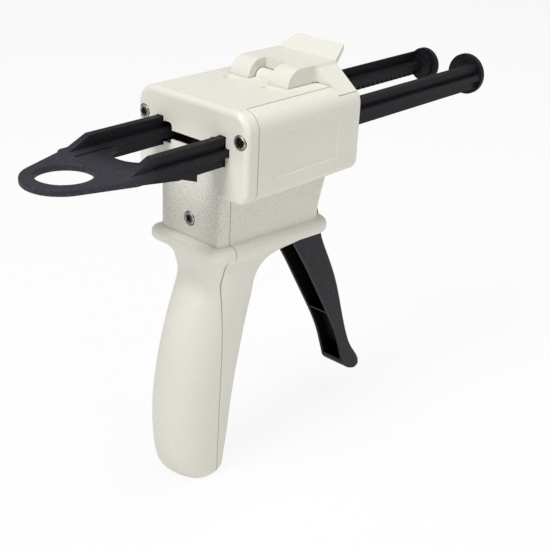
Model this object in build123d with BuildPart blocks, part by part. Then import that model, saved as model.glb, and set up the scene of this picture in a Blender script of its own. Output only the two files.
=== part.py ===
"""Double-barrel dental dispensing tool: a hand gun that pushes two rack rods into a twin cartridge.

The origin is in the middle of the cartridge slot, on the face that the cartridge's flange pulls
against. +X is the dispensing direction, +Y is the gun's left, +Z is up. Sizes are millimetres.
Most stations along X are given as a distance ahead of the housing's rear face.
"""
import os
from math import copysign, cos, hypot, pi, radians, sin

from build123d import *

# Housing block
BODY_LENGTH = 62.6
BLOCK_HALF_WIDTH = 28.2
BLOCK_TOP = 15.75
BLOCK_BOTTOM = -18.4
SHOULDER_R = 7.5
KEEL_R = 5.0
WALL = 2.6
FACE_EDGE_R = 1.2
SEAM_CHAMFER = 0.25

# Rear cover
COVER_SEAM = 6.0
NECK_SEAM = 5.3
TOP_PLATE_MARGIN = 6.1
TOP_PLATE_THICKNESS = 2.5
TOP_LEDGE = 1.6
COVER_EDGE_R = 2.2
SEAM_GAP = 0.08
SEAM_GROOVE = 0.3
COVER_WALL = 2.6
SLIT_LOW = -2.2
SLIT_EDGE = 0.9
SLIT_RELIEF = 3.4

# Side panels, shallow and bare
PANEL_REAR = 13.5
PANEL_SETBACK = 12.6
PANEL_LOW = -10.6
PANEL_HIGH = 6.0
PANEL_DEPTH = 0.55
PANEL_SLOPE_DEG = 45
PANEL_CORNER_R = 1.2

# Neck, lip and grip
NECK_HALF_WIDTH = 16.0
NECK_BASE = -37.5
NECK_CORNER_R = 3.0
NECK_FRONT = [(61.4, -19.0), (60.9, -22.6), (57.2, -34.0), (55.8, -44.0)]
LIP_REAR = -3.9
LIP_FRONT = 62.6
LIP_HALF_WIDTH = 19.8
LIP_REAR_CORNER_R = 5.5
LIP_FRONT_CORNER_R = 9.0
LIP_HEIGHT = 5.6
LIP_EDGE_R = 2.4
LIP_TILT = 3.0
# height, middle ahead of the rear face, half length, half width, squareness and tilt of each section
GRIP_SECTIONS = [
    (-40.5, 27.6, 31.5, 19.6, 8.0, 3.0),
    (-43.5, 26.6, 29.0, 18.6, 6.0, 3.0),
    (-47.0, 20.9, 21.2, 16.4, 3.6, 2.4),
    (-51.0, 16.2, 14.6, 15.7, 3.0, 1.6),
    (-56.0, 15.0, 13.4, 15.0, 2.5, 0.8),
    (-62.0, 13.5, 15.2, 14.1, 2.3, 0.0),
    (-72.0, 10.3, 16.9, 13.7, 2.2, 0.0),
    (-88.0, 6.2, 17.7, 13.4, 2.2, 0.0),
    (-104.0, 3.3, 17.6, 13.0, 2.2, 0.0),
    (-120.0, 2.1, 16.4, 12.7, 2.2, 0.0),
    (-132.0, 2.1, 14.3, 12.5, 2.2, 0.0),
    (-140.8, 4.6, 9.7, 11.8, 2.2, 0.0),
]
SECTION_POINTS = 24
GRIP_END_R = 3.0

# Cartridge seat at the front
LIP_THICKNESS = 3.2
SLOT_WIDTH = 3.6
SLOT_MARGIN = 3.6
SLOT_FLOOR = -14.0
BARREL_CLEAR_R = 11.2
NOTCH_LENGTH = 12.0
NOTCH_DROP = 3.05
BULKHEAD_LENGTH = 12.4
CHAMBER_FRONT = 50.2
CHAMBER_REAR = 27.0

# Plunger: two rack rods joined by a pull ring
BARREL_SPACING = 22.6
WEB_OUTER_SHIFT = 6.28
WEB_THICKNESS = 3.08
WEB_TOP = 5.53
WEB_BOTTOM = -5.2
FLANGE_OUTER_SHIFT = 8.14
FLANGE_HALF = 1.31
RACK_INNER_SHIFT = 0.8
RACK_ROOT = -1.3
RACK_TIP = -3.5
RACK_PITCH = 3.3
RACK_LAND = 0.4
RACK_TEETH = 44
RACK_REAR = 4.0
TOOTH_GAP = 1.0
GROOVE_TOP = 2.9
GROOVE_DEPTH = 0.55
ROD_REACH = 96.6
ARM_REAR = -44.5
RIB_FULL = -33.5
KEEL_FULL = -22.0
PLATE_FRONT = -44.0
FORK_MIDDLE = -23.0
RING_MIDDLE = -57.4
RING_R = 14.1
RING_HOLE_MIDDLE = -56.6
RING_HOLE_R = 9.8
RING_TOP = 0.8
RING_THICKNESS = 2.75
RING_EDGE_R = 0.8
LUG_PITCHES = 4
LUG_GAP = 0.2
LUG_DEPTH = 2.5
LUG_LENGTH = 7.0
ROD_CLEAR = 0.3
BUMP_SHIFT = 0.8
BUMP_TOP = 3.4
BUMP_R = 1.6

# Discs on the rod ends
LARGE_DISC_R = 9.0
SMALL_DISC_R = 7.6
SMALL_DISC_SHIFT = 0.5
SMALL_DISC_SETBACK = 1.5
DISC_THICKNESS = 2.1
DISC_EDGE = 0.35
HUB_R = 5.2
HUB_LENGTH = 3.0
SPIGOT_R = 2.5
SPIGOT_LENGTH = 1.3
DISC_POCKET_CLEAR = 0.6
DISC_POCKET_DEPTH = 9.4

# Latch over the cartridge slot
LATCH_SETBACK = 20.6
LATCH_SINK = 0.35
KNUCKLE_R = 7.0
LATCH_HALF_WIDTH = 14.7
NOTCH_HALF_WIDTH = 5.3
NOTCH_REACH = 2.4
LATCH_FRONT_GAP = 0.6
WING_LENGTH = 10.8
WING_MARGIN = 2.3
WING_HEAD_SHIFT = 0.7
WING_HEAD_RISE = 5.45
TAB_REACH = 8.6
TAB_TIP_RISE = 11.25
TAB_TIP_HALF_WIDTH = 11.8
TAB_THICKNESS = 2.0
TAB_CORNER_R = 1.5
WING_ROOT_R = 2.0
LATCH_GAP = 0.3
LATCH_SHELL = 2.4
LATCH_PIN_R = 1.5
LATCH_PIN_HALF = 12.6
HINGE_LUG_R = 3.4
HINGE_LUG_HALF = 4.9

# Trigger
TRIGGER_AXIS = (36.0, -25.5)
TRIGGER_HALF_WIDTH = 6.4
TRIGGER_WALL = 1.3
TRIGGER_FACE = 2.2
TRIGGER_FRONT = [
    (38.0, -19.6), (51.0, -23.2), (62.5, -31.5), (67.2, -40.3), (71.0, -54.2), (76.0, -64.7),
    (83.0, -79.0), (88.6, -95.0), (93.6, -109.2), (97.2, -116.7), (101.4, -122.5), (104.2, -127.2),
    (104.4, -129.2), (102.8, -130.8),
]
TRIGGER_TOE = [(102.8, -130.8), (98.2, -129.6), (94.5, -127.6), (92.3, -125.1)]
TRIGGER_REAR = [
    (92.3, -125.1), (89.8, -118.0), (87.2, -111.0), (84.0, -104.0), (79.3, -95.6), (73.8, -86.4),
    (68.4, -77.4), (61.5, -66.1), (53.8, -54.7), (46.4, -44.0), (39.5, -36.0), (32.0, -29.6),
]
TRIGGER_HUB_R = 5.6
TRIGGER_PIN_R = 2.0
TRIGGER_EDGE_R = 1.4
TRIGGER_SIDE_GAP = 0.6
TRIGGER_SLOT = [(37.0, -58.0), (37.0, -40.0), (45.0, -25.6)]
CHANNEL_TOE = [(99.0, -127.4), (95.2, -126.0), (93.2, -124.0)]
CHANNEL_REAR = [(84.0, -120.0), (30.0, -50.0), (36.0, -40.3)]
CROSS_RIB = [(79.1, -94.8), (88.4, -98.5), (88.6, -99.4), (79.6, -95.7)]
TAIL_REAR = 21.4
TAIL_TOP = -22.6
TAIL_THICKNESS = 3.4
BUSH_R = 3.0
BUSH_LENGTH = 1.9

# Drive pawl on the trigger's upper arm
PAWL_AXIS = (34.0, -11.5)
PAWL_PIN_R = 1.5
PAWL_HUB_R = 3.5
ARM_HEAD_R = 4.2
PAWL_HUB_HALF = 4.2
EAR_GAP = 0.2
PAWL_SIDE_GAP = 0.3
TIP_LAND = 0.6
PAWL_BAR_REAR = 38.6
PAWL_BAR_FRONT = 42.0
PAWL_BAR_LOW = -9.6
PAWL_BAR_HIGH = -5.6
PAWL_BAR_STEP = 1.0
PAWL_TIP_GAP = 0.35
PAWL_ENGAGE_DEG = 9.0
CLIP_R = 2.9
CLIP_THICKNESS = 0.6

# Springs, screws, brake and running clearances
TRIGGER_SPRING_X = 25.4
TRIGGER_SPRING_R = 3.1
TRIGGER_SPRING_WIRE = 0.45
TRIGGER_SPRING_TURNS = 5
SPRING_SHELF_LOW = -9.4
SPRING_SHELF_THICKNESS = 2.2
SPRING_SHELF_FRONT = 29.3
PAWL_SPRING_X = 40.4
PAWL_SPRING_R = 1.8
PAWL_SPRING_WIRE = 0.3
PAWL_SPRING_TURNS = 5
PAWL_SEAT_LEVEL = -18.8
PAWL_SLOT_DROP = 0.7
SPRING_GAP = 0.1
SCREW_MARGIN = 3.65
SCREW_Z = 5.2
LOWER_SCREW_Z = -30.2
SCREW_HEAD_R = 2.55
SCREW_RECESS_R = 2.9
SCREW_RECESS_DEPTH = 1.3
SCREW_HEAD_HEIGHT = 1.5
SCREW_HEAD_EDGE_R = 0.5
SCREW_SHANK_R = 1.4
SCREW_LENGTH = 14.0
SOCKET_R = 1.1
LOBE_R = 0.42
LOBE_RING_R = 1.15
LOBES = 6
SOCKET_DEPTH = 0.9
BOSS_R = 3.3
CROSS_SHELF = 2.2
RIB_GAP = 0.9
RIB_THICKNESS = 1.9
RIB_OUTLINE = [(30.6, -31.5), (30.6, -20.5), (41.0, -15.8), (51.0, -15.8), (59.6, -25.0), (57.0, -33.0)]
KEEPER_GAP = 0.1
SHELF_GAP = 2.0
KEEPER_HALF_HEIGHT = 1.8
BRAKE_LEVEL = 8.2
BRAKE_THICKNESS = 0.5
BRAKE_REAR = 12.0
BRAKE_BEND = 18.0
BRAKE_LOW = (26.0, 6.15)
BRAKE_TIP = (29.0, 7.0)
BRAKE_SCREW_X = 15.0
RUNNING = 0.05
LEAF_THICKNESS = 0.4
LEAF_HALF_LENGTH = 2.6
STAKE_R = 1.0
SCOOP_STATION = 30.8
SCOOP_R = 5.0
SCOOP_DEPTH = 0.5
SCOOP_HALF_WIDTH = 3.3

REAR = LIP_THICKNESS - BODY_LENGTH
BAND = 200.0


def ahead(station):
    """X of a station given as a distance ahead of the rear face."""
    return REAR + station


def at(point):
    """Row X and Z of a point given as (ahead of the rear face, height)."""
    return (ahead(point[0]), point[1])


def side_plane(y):
    """Upright plane along the gun at this y, whose sketches read X forward and Z up."""
    return Plane(origin=(0, y, 0), x_dir=(1, 0, 0), z_dir=(0, -1, 0))


def cross_plane(station):
    """Plane facing forward at a station, whose sketches read Y left and Z up."""
    return Plane.YZ.offset(ahead(station))


def block_outline(inset=0.0):
    """The block's cross-section, with large shoulders and smaller lower corners, drawn inset."""
    half = BLOCK_HALF_WIDTH - inset
    top = BLOCK_TOP - inset
    low = BLOCK_BOTTOM + inset
    with BuildSketch() as outline:
        with BuildLine():
            Polyline((-half, low), (half, low), (half, top), (-half, top), close=True)
        make_face()
        fillet(outline.vertices().sort_by(Axis.Y)[2:], radius=SHOULDER_R - inset)
        fillet(outline.vertices().sort_by(Axis.Y)[:2], radius=KEEL_R - inset)
    return outline.sketch


def rod_outline(clear=0.0):
    """Both rods' cross-section: web, outer flange and the rack's rail, grown by a clearance."""
    web_width = web_outer - web_inner + 2 * clear
    web_height = WEB_TOP - WEB_BOTTOM + 2 * clear
    flange_width = flange_outer - rack_inner + 2 * clear
    flange_height = FLANGE_HALF - RACK_ROOT + 2 * clear
    with BuildSketch() as outline:
        for side in (-1, 1):
            with Locations((side * (web_outer + web_inner) / 2, (WEB_TOP + WEB_BOTTOM) / 2)):
                Rectangle(web_width, web_height)
            with Locations((side * (flange_outer + rack_inner) / 2, (FLANGE_HALF + RACK_ROOT) / 2)):
                Rectangle(flange_width, flange_height)
            if clear:
                rack_width = web_inner - rack_inner + 2 * clear
                rack_height = FLANGE_HALF - RACK_TIP + 2 * clear
                with Locations((side * (web_inner + rack_inner) / 2, (FLANGE_HALF + RACK_TIP) / 2)):
                    Rectangle(rack_width, rack_height)
    return outline.sketch


def grip_section(half_length, half_width, squareness):
    """One closed section of the grip: an oval, or a squarer outline the larger the squareness."""
    points = []
    for index in range(SECTION_POINTS):
        angle = 2 * pi * index / SECTION_POINTS
        x = copysign(abs(cos(angle)) ** (2 / squareness), cos(angle))
        y = copysign(abs(sin(angle)) ** (2 / squareness), sin(angle))
        points.append((half_length * x, half_width * y))
    return points


def coil(radius, wire, low, high, turns, station, y=0.0):
    """A compression coil of round wire as one unbroken tube along half-turn arcs."""
    x = ahead(station)
    start = low + wire
    rise = (high - low - 2 * wire) / turns

    def point(turn):
        angle = radians(360 * turn)
        return (x + radius * cos(angle), y + radius * sin(angle), start + rise * turn)

    with BuildPart() as tube:
        with BuildLine() as path:
            for half in range(2 * turns):
                ThreePointArc(point(half / 2), point(half / 2 + 0.25), point(half / 2 + 0.5))
        with BuildSketch(Plane(origin=point(0), z_dir=path.wires()[0] % 0)):
            Circle(wire)
        sweep()
    print(f"coil radius {radius}: least gap between turns {rise - 2 * wire:.2f} mm")
    return tube.part


def rack_points(first_tooth):
    """Saw-tooth outline under the rail: each tooth's upright face looks rearwards."""
    points = []
    for tooth in range(RACK_TEETH):
        x = ahead(first_tooth + tooth * RACK_PITCH)
        points += [(x, RACK_ROOT), (x, RACK_TIP), (x + RACK_LAND, RACK_TIP)]
    points.append((x + RACK_PITCH, RACK_ROOT))
    points.append((x + RACK_PITCH, 0))
    points.append((ahead(first_tooth), 0))
    return points


os.makedirs("parts", exist_ok=True)
slot_front = BODY_LENGTH - LIP_THICKNESS
bulkhead_front = slot_front - SLOT_WIDTH
bulkhead_rear = BODY_LENGTH - BULKHEAD_LENGTH
notch_rear = BODY_LENGTH - NOTCH_LENGTH
notch_level = BLOCK_TOP - NOTCH_DROP
pocket_floor = BODY_LENGTH - DISC_POCKET_DEPTH
panel_front = BODY_LENGTH - PANEL_SETBACK
slot_half = BLOCK_HALF_WIDTH - SLOT_MARGIN
plate_half = BLOCK_HALF_WIDTH - TOP_PLATE_MARGIN
web_outer = BARREL_SPACING / 2 + WEB_OUTER_SHIFT
web_inner = web_outer - WEB_THICKNESS
flange_outer = BARREL_SPACING / 2 + FLANGE_OUTER_SHIFT
rack_inner = BARREL_SPACING / 2 - RACK_INNER_SHIFT
bump_inner = rack_inner - BUMP_SHIFT
small_disc_y = BARREL_SPACING / 2 - SMALL_DISC_SHIFT
finger_inner = rack_inner + PAWL_SIDE_GAP
pawl_half = web_inner - PAWL_SIDE_GAP
rod_end = BODY_LENGTH + ROD_REACH
lug_face = -LUG_PITCHES * RACK_PITCH - LUG_GAP
rib_inner = TRIGGER_HALF_WIDTH + RIB_GAP
trigger_slot_half = TRIGGER_HALF_WIDTH + TRIGGER_SIDE_GAP
neck_inner = NECK_HALF_WIDTH - WALL
pin_x = ahead(TRIGGER_AXIS[0])
pin_z = TRIGGER_AXIS[1]
rib_middle = rib_inner + RIB_THICKNESS / 2
latch_station = BODY_LENGTH - LATCH_SETBACK
latch_front = BODY_LENGTH - LATCH_FRONT_GAP
legs_front = latch_station + NOTCH_REACH
wing_rear = latch_front - WING_LENGTH
wing_foot = BLOCK_HALF_WIDTH - WING_MARGIN
wing_head = LATCH_HALF_WIDTH + WING_HEAD_SHIFT
wing_head_level = BLOCK_TOP + WING_HEAD_RISE
tab_tip = latch_front + TAB_REACH
tab_tip_level = BLOCK_TOP + TAB_TIP_RISE
latch_x = ahead(latch_station)
latch_z = BLOCK_TOP - LATCH_SINK
latch_top = latch_z + KNUCKLE_R
lug_foot = latch_z - KNUCKLE_R - LATCH_GAP
pawl_x = ahead(PAWL_AXIS[0])
pawl_z = PAWL_AXIS[1]
brake_seat = BRAKE_LEVEL + BRAKE_THICKNESS
bush_middle = rib_inner - EAR_GAP - BUSH_LENGTH / 2
screw_y = BLOCK_HALF_WIDTH - SCREW_MARGIN
screw_places = [(screw_y, SCREW_Z), (-screw_y, SCREW_Z), (0, LOWER_SCREW_Z)]
small_disc_end = rod_end - SMALL_DISC_SETBACK
disc_places = [
    (-BARREL_SPACING / 2, LARGE_DISC_R, rod_end), (small_disc_y, SMALL_DISC_R, small_disc_end),
]

# Housing: block, neck, lip and grip in one moulding
neck_profile = [(NECK_SEAM, NECK_FRONT[0][1])] + NECK_FRONT + [(NECK_SEAM, NECK_FRONT[-1][1])]
neck_inside = [(0, BLOCK_BOTTOM + 2 * WALL), (CHAMBER_FRONT, BLOCK_BOTTOM + 2 * WALL)]
neck_inside += [(CHAMBER_FRONT, BLOCK_BOTTOM - WALL)]
neck_inside += [(x - WALL, z) for x, z in NECK_FRONT[1:]]
neck_inside += [(CHAMBER_REAR, NECK_FRONT[-1][1]), (CHAMBER_REAR, NECK_BASE), (0, NECK_BASE)]
lip_plane = Plane(
    origin=(ahead((LIP_REAR + LIP_FRONT) / 2), 0, NECK_BASE - sin(radians(LIP_TILT)) * LIP_FRONT / 2),
    x_dir=(cos(radians(LIP_TILT)), 0, -sin(radians(LIP_TILT))),
    z_dir=(sin(radians(LIP_TILT)), 0, cos(radians(LIP_TILT))),
)

with BuildPart() as grip:
    for height, middle, half_length, half_width, squareness, tilt in GRIP_SECTIONS:
        slope = radians(tilt)
        section_plane = Plane(
            origin=(ahead(middle), 0, height), x_dir=(cos(slope), 0, -sin(slope)),
            z_dir=(sin(slope), 0, cos(slope)),
        )
        with BuildSketch(section_plane):
            with BuildLine():
                Spline(*grip_section(half_length, half_width, squareness), periodic=True)
            make_face()
    loft()
    fillet(grip.edges().sort_by(Axis.Z)[0], radius=GRIP_END_R)

with BuildPart() as lip:
    with BuildSketch(lip_plane) as lip_outline:
        Rectangle(LIP_FRONT - LIP_REAR, 2 * LIP_HALF_WIDTH)
        fillet(lip_outline.vertices().sort_by(Axis.X)[:2], radius=LIP_REAR_CORNER_R)
        fillet(lip_outline.vertices().sort_by(Axis.X)[-2:], radius=LIP_FRONT_CORNER_R)
    extrude(amount=-LIP_HEIGHT)
    fillet(lip.faces().sort_by(Axis.Z)[-1].edges(), radius=LIP_EDGE_R)
    fillet(lip.faces().sort_by(Axis.Z)[0].edges(), radius=LIP_EDGE_R)

with BuildPart() as neck:
    with BuildSketch(side_plane(0)):
        with BuildLine():
            Polyline([at(p) for p in neck_profile], close=True)
        make_face()
    extrude(amount=NECK_HALF_WIDTH, both=True)
    front_edges = neck.edges().filter_by(lambda e: abs((e @ 0.5).Y) > NECK_HALF_WIDTH - 0.1)
    fillet(front_edges.filter_by(lambda e: (e @ 0.5).X > ahead(CHAMBER_FRONT)), radius=NECK_CORNER_R)
    chamfer(neck.faces().sort_by(Axis.X)[0].edges().filter_by(Axis.Z), length=SEAM_CHAMFER)

with BuildPart() as housing:
    with BuildSketch(cross_plane(COVER_SEAM)):
        add(block_outline())
    extrude(amount=BODY_LENGTH - COVER_SEAM)
    fillet(housing.faces().sort_by(Axis.X)[-1].edges(), radius=FACE_EDGE_R)
    chamfer(housing.faces().sort_by(Axis.X)[0].edges(), length=SEAM_CHAMFER)
    add(neck.part)
    add(lip.part)
    add(grip.part)
    # the block's hollow, its open top and the ledge that carries the cover's top plate
    with BuildSketch(cross_plane(COVER_SEAM)):
        add(block_outline(WALL))
    extrude(amount=bulkhead_rear - COVER_SEAM, mode=Mode.SUBTRACT)
    ledge_half = plate_half - TOP_LEDGE
    with BuildSketch(cross_plane(COVER_SEAM)):
        with Locations((0, BLOCK_TOP)):
            Rectangle(2 * ledge_half, 2 * SHOULDER_R)
    extrude(amount=bulkhead_rear - COVER_SEAM, mode=Mode.SUBTRACT)
    with BuildSketch(cross_plane(COVER_SEAM)):
        with Locations((0, BLOCK_TOP)):
            Rectangle(2 * plate_half, 2 * (TOP_PLATE_THICKNESS + SEAM_GAP))
    extrude(amount=notch_rear - COVER_SEAM, mode=Mode.SUBTRACT)
    # the neck's hollow
    with BuildSketch(side_plane(0)):
        with BuildLine():
            Polyline([at(p) for p in neck_inside], close=True)
        make_face()
    extrude(amount=neck_inner, both=True, mode=Mode.SUBTRACT)
    # the front notch under the latch, the cartridge slot and the barrels' way in
    with BuildSketch(cross_plane(notch_rear)):
        with Locations((0, notch_level + SHOULDER_R)):
            Rectangle(BAND, 2 * SHOULDER_R)
    extrude(amount=BODY_LENGTH, mode=Mode.SUBTRACT)
    with BuildSketch(cross_plane(bulkhead_front)):
        with Locations((0, SLOT_FLOOR + BAND / 2)):
            Rectangle(2 * slot_half, BAND)
    extrude(amount=SLOT_WIDTH, mode=Mode.SUBTRACT)
    with BuildSketch(cross_plane(slot_front)):
        for side in (-1, 1):
            with Locations((side * BARREL_SPACING / 2, 0)):
                Circle(BARREL_CLEAR_R)
        with Locations((0, BAND / 2)):
            Rectangle(BARREL_SPACING + 2 * BARREL_CLEAR_R, BAND)
    extrude(amount=2 * LIP_THICKNESS, mode=Mode.SUBTRACT)
    # the bulkhead's openings for the rods and its pockets for the discs
    with BuildSketch(cross_plane(bulkhead_rear - WALL)):
        add(rod_outline(ROD_CLEAR))
    extrude(amount=BODY_LENGTH, mode=Mode.SUBTRACT)
    for y, radius, end in disc_places:
        with BuildSketch(cross_plane(pocket_floor + end - rod_end)):
            with Locations((y, 0)):
                Circle(radius + DISC_POCKET_CLEAR)
        extrude(amount=BODY_LENGTH, mode=Mode.SUBTRACT)
        with BuildSketch(cross_plane(bulkhead_rear - WALL)):
            with Locations((y, 0)):
                Circle(HUB_R + ROD_CLEAR)
        extrude(amount=BODY_LENGTH, mode=Mode.SUBTRACT)
    # bare side panels
    for side in (-1, 1):
        inward = Plane(origin=(0, side * BLOCK_HALF_WIDTH, 0), x_dir=(1, 0, 0), z_dir=(0, -side, 0))
        with BuildSketch(inward):
            with Locations((ahead((PANEL_REAR + panel_front) / 2), side * (PANEL_LOW + PANEL_HIGH) / 2)):
                RectangleRounded(panel_front - PANEL_REAR, PANEL_HIGH - PANEL_LOW, PANEL_CORNER_R)
        extrude(amount=PANEL_DEPTH, taper=PANEL_SLOPE_DEG, mode=Mode.SUBTRACT)
    # ribs that carry the trigger's pin in slots open to the rear
    for side in (-1, 1):
        with BuildSketch(side_plane(side * rib_middle)):
            with BuildLine():
                Polyline(*[at(p) for p in RIB_OUTLINE], close=True)
            make_face()
        extrude(amount=RIB_THICKNESS / 2, both=True)
        with BuildSketch(side_plane(side * rib_middle)):
            with Locations((pin_x, pin_z)):
                Circle(TRIGGER_PIN_R + RUNNING)
            with Locations((pin_x - BAND / 2, pin_z)):
                Rectangle(BAND, 2 * (TRIGGER_PIN_R + RUNNING))
        extrude(amount=RIB_THICKNESS, both=True, mode=Mode.SUBTRACT)
    # the trigger's slot through the neck's front, the lip and the grip's flare
    with BuildSketch(side_plane(0)):
        with BuildLine():
            Polyline(
                *[at(p) for p in TRIGGER_SLOT], at((LIP_FRONT + WALL, TRIGGER_SLOT[-1][1])),
                at((LIP_FRONT + WALL, TRIGGER_SLOT[0][1])), close=True,
            )
        make_face()
    extrude(amount=trigger_slot_half, both=True, mode=Mode.SUBTRACT)
    # bosses for the cover's screws, the lower one on a cross shelf
    for side in (-1, 1):
        with BuildSketch(cross_plane(COVER_SEAM)):
            with Locations((side * screw_y, SCREW_Z)):
                Circle(BOSS_R)
        extrude(amount=SCREW_LENGTH)
    with BuildSketch(cross_plane(COVER_SEAM)):
        with Locations((0, LOWER_SCREW_Z)):
            Circle(BOSS_R)
        with Locations((0, LOWER_SCREW_Z)):
            Rectangle(2 * neck_inner + WALL, CROSS_SHELF)
    extrude(amount=SCREW_LENGTH)
    with BuildSketch(cross_plane(COVER_SEAM)):
        with Locations(*screw_places):
            Circle(SCREW_SHANK_R + RUNNING)
    extrude(amount=SCREW_LENGTH - SCREW_RECESS_DEPTH, mode=Mode.SUBTRACT)
    # the rods' way past the upper bosses and walls
    with BuildSketch(cross_plane(COVER_SEAM)):
        add(rod_outline(ROD_CLEAR))
    extrude(amount=BODY_LENGTH, mode=Mode.SUBTRACT)

housing.part.label = "housing"
export_step(housing.part, "parts/housing.step")

# Rear cover: the T-shaped rear wall, its rim and the plate over the top
with BuildPart() as rear_cover:
    with BuildSketch(cross_plane(0)):
        add(block_outline())
    extrude(amount=COVER_SEAM - SEAM_GAP)
    chamfer(rear_cover.faces().sort_by(Axis.X)[-1].edges(), length=SEAM_CHAMFER)
    with BuildSketch(cross_plane(0)):
        with Locations((0, (NECK_BASE + BLOCK_BOTTOM) / 2)):
            Rectangle(2 * NECK_HALF_WIDTH, BLOCK_BOTTOM - NECK_BASE + 2 * COVER_EDGE_R)
    extrude(amount=NECK_SEAM - SEAM_GAP)
    fillet(rear_cover.faces().sort_by(Axis.X)[0].edges(), radius=COVER_EDGE_R)
    # its foot is cut to the slope of the lip
    with BuildSketch(lip_plane.offset(SEAM_GAP)):
        Rectangle(BAND, BAND)
    extrude(amount=-BODY_LENGTH, mode=Mode.SUBTRACT)
    with BuildSketch(cross_plane(COVER_WALL)):
        add(block_outline(WALL))
        with Locations((0, (NECK_BASE + BLOCK_BOTTOM) / 2 + WALL)):
            Rectangle(2 * neck_inner, BLOCK_BOTTOM - NECK_BASE)
    extrude(amount=COVER_SEAM, mode=Mode.SUBTRACT)
    with BuildSketch(cross_plane(COVER_WALL)):
        with Locations((0, BLOCK_TOP - TOP_PLATE_THICKNESS / 2)):
            Rectangle(2 * (plate_half - SEAM_GAP), TOP_PLATE_THICKNESS)
    extrude(amount=notch_rear - COVER_WALL - SEAM_GAP)
    # a fine groove shows where the plate meets the housing
    with BuildSketch(cross_plane(COVER_SEAM - SEAM_GAP)):
        for side in (-1, 1):
            with Locations((side * plate_half, BLOCK_TOP)):
                Rectangle(2 * SEAM_GROOVE, 2 * SEAM_GROOVE)
    extrude(amount=BODY_LENGTH, mode=Mode.SUBTRACT)
    # slots for the latch's knuckles and the lug between them
    knuckle_room = KNUCKLE_R + LATCH_GAP
    with BuildSketch(Plane.XY.offset(BLOCK_TOP)):
        for side in (-1, 1):
            with Locations((latch_x, side * (NOTCH_HALF_WIDTH + LATCH_HALF_WIDTH) / 2)):
                Rectangle(2 * knuckle_room, LATCH_HALF_WIDTH - NOTCH_HALF_WIDTH + 2 * LATCH_GAP)
    extrude(amount=-2 * TOP_PLATE_THICKNESS, mode=Mode.SUBTRACT)
    with BuildSketch(side_plane(0)):
        with Locations((latch_x, latch_z)):
            Circle(HINGE_LUG_R)
        with Locations((latch_x, (latch_z + lug_foot) / 2)):
            Rectangle(2 * HINGE_LUG_R, latch_z - lug_foot)
    extrude(amount=HINGE_LUG_HALF, both=True)
    with BuildSketch(side_plane(0)):
        with Locations((latch_x, latch_z)):
            Circle(LATCH_PIN_R + RUNNING)
    extrude(amount=NOTCH_HALF_WIDTH, both=True, mode=Mode.SUBTRACT)
    # shallow scoops behind the latch's legs
    for side in (-1, 1):
        with BuildSketch(side_plane(side * (NOTCH_HALF_WIDTH + LATCH_HALF_WIDTH) / 2)):
            with Locations((ahead(SCOOP_STATION), BLOCK_TOP + SCOOP_R - SCOOP_DEPTH)):
                Circle(SCOOP_R)
        extrude(amount=SCOOP_HALF_WIDTH, both=True, mode=Mode.SUBTRACT)
    # stake under the lug for the latch's leaf spring
    with BuildSketch(Plane.XY.offset(lug_foot)):
        with Locations((latch_x, 0)):
            Circle(STAKE_R)
    extrude(amount=-2 * LEAF_THICKNESS)
    # opening for the rods and arms
    with BuildSketch(cross_plane(0)) as opening:
        add(rod_outline(ROD_CLEAR))
        Rectangle(2 * flange_outer, 2 * (FLANGE_HALF + RUNNING))
        with Locations((0, SLIT_LOW / 2)):
            Rectangle(2 * rack_inner, -SLIT_LOW)
        for side in (-1, 1):
            with Locations((side * (bump_inner + web_inner + ROD_CLEAR) / 2, BUMP_TOP / 2)):
                RectangleRounded(web_inner + ROD_CLEAR - bump_inner, BUMP_TOP + BUMP_R, BUMP_R)
    extrude(amount=COVER_SEAM, mode=Mode.SUBTRACT)
    with BuildSketch(cross_plane(SLIT_EDGE)):
        with Locations((0, -SLIT_RELIEF / 2)):
            Rectangle(2 * rack_inner, SLIT_RELIEF)
    extrude(amount=COVER_WALL, mode=Mode.SUBTRACT)
    # shelf over the trigger's spring, keepers behind its pin, boss for the brake
    with BuildSketch(Plane.XY.offset(SPRING_SHELF_LOW)):
        with Locations((ahead((COVER_WALL + SPRING_SHELF_FRONT) / 2), 0)):
            Rectangle(SPRING_SHELF_FRONT - COVER_WALL, 2 * (neck_inner - SHELF_GAP))
    extrude(amount=SPRING_SHELF_THICKNESS)
    keeper_front = TRIGGER_AXIS[0] - TRIGGER_PIN_R - RUNNING
    with BuildSketch(cross_plane(COVER_WALL)):
        for side in (-1, 1):
            with Locations((side * rib_middle, pin_z)):
                Rectangle(RIB_THICKNESS - 2 * KEEPER_GAP, 2 * KEEPER_HALF_HEIGHT)
    extrude(amount=keeper_front - COVER_WALL)
    with BuildSketch(Plane.XY.offset(brake_seat)):
        with Locations((ahead(BRAKE_SCREW_X), 0)):
            Circle(BOSS_R)
    extrude(amount=BLOCK_TOP - TOP_PLATE_THICKNESS / 2 - brake_seat)
    with BuildSketch(Plane.XY.offset(brake_seat)):
        with Locations((ahead(BRAKE_SCREW_X), 0)):
            Circle(SCREW_SHANK_R + RUNNING)
    extrude(amount=BLOCK_TOP - TOP_PLATE_THICKNESS - brake_seat, mode=Mode.SUBTRACT)
    with BuildSketch(cross_plane(COVER_WALL)):
        with Locations(*screw_places):
            Circle(BOSS_R)
    extrude(amount=NECK_SEAM - SEAM_GAP - COVER_WALL)
    # screw recesses and holes
    with BuildSketch(cross_plane(0)):
        with Locations(*screw_places):
            Circle(SCREW_RECESS_R)
    extrude(amount=SCREW_RECESS_DEPTH, mode=Mode.SUBTRACT)
    with BuildSketch(cross_plane(0)):
        with Locations(*screw_places):
            Circle(SCREW_SHANK_R + RUNNING)
    extrude(amount=COVER_SEAM, mode=Mode.SUBTRACT)

rear_cover.part.label = "rear_cover"
export_step(rear_cover.part, "parts/rear_cover.step")

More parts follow.
